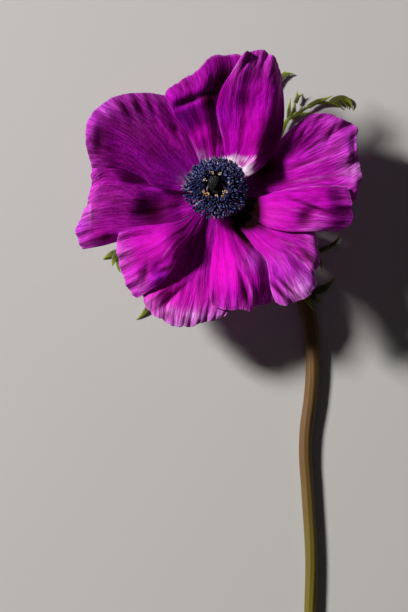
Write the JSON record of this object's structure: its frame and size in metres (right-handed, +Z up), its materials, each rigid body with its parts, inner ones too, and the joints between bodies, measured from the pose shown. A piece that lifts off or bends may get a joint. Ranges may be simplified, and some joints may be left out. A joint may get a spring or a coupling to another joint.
{
  "type": "anemone flower",
  "caption": "Magenta poppy anemone, cut and lying face up: ruffled petals round a blue-black centre, finely cut leaves below the flower and a long bent stem.",
  "frame": {"origin": "on the table, under the middle of the whole flower's box", "axes": "+Y runs along the stem from its cut end towards the flower, +Z is up from the table, out of the flower's face, and +X is to the right as one looks down on the face"},
  "size_m": [0.0858, 0.191, 0.0385],
  "materials": {
    "stalk": "satin",
    "leaf": "satin",
    "tepal": "satin",
    "anther": "matte",
    "pistil": "matte"
  },
  "bodies": {
    "root": {"flower_stem": "stalk", "bract_upper": "leaf", "bract_left": "leaf", "bract_right": "leaf", "tepal_top_left": "tepal", "tepal_top": "tepal", "tepal_right_upper": "tepal", "tepal_right": "tepal", "tepal_right_lower": "tepal", "tepal_bottom_right": "tepal", "tepal_bottom_left": "tepal", "tepal_left_lower": "tepal", "tepal_left": "tepal", "tepal_left_upper": "tepal", "stamens_outer": "anther", "stamens_middle": "anther", "stamens_inner": "anther", "pistil_head": "pistil"}
  },
  "joints": []
}
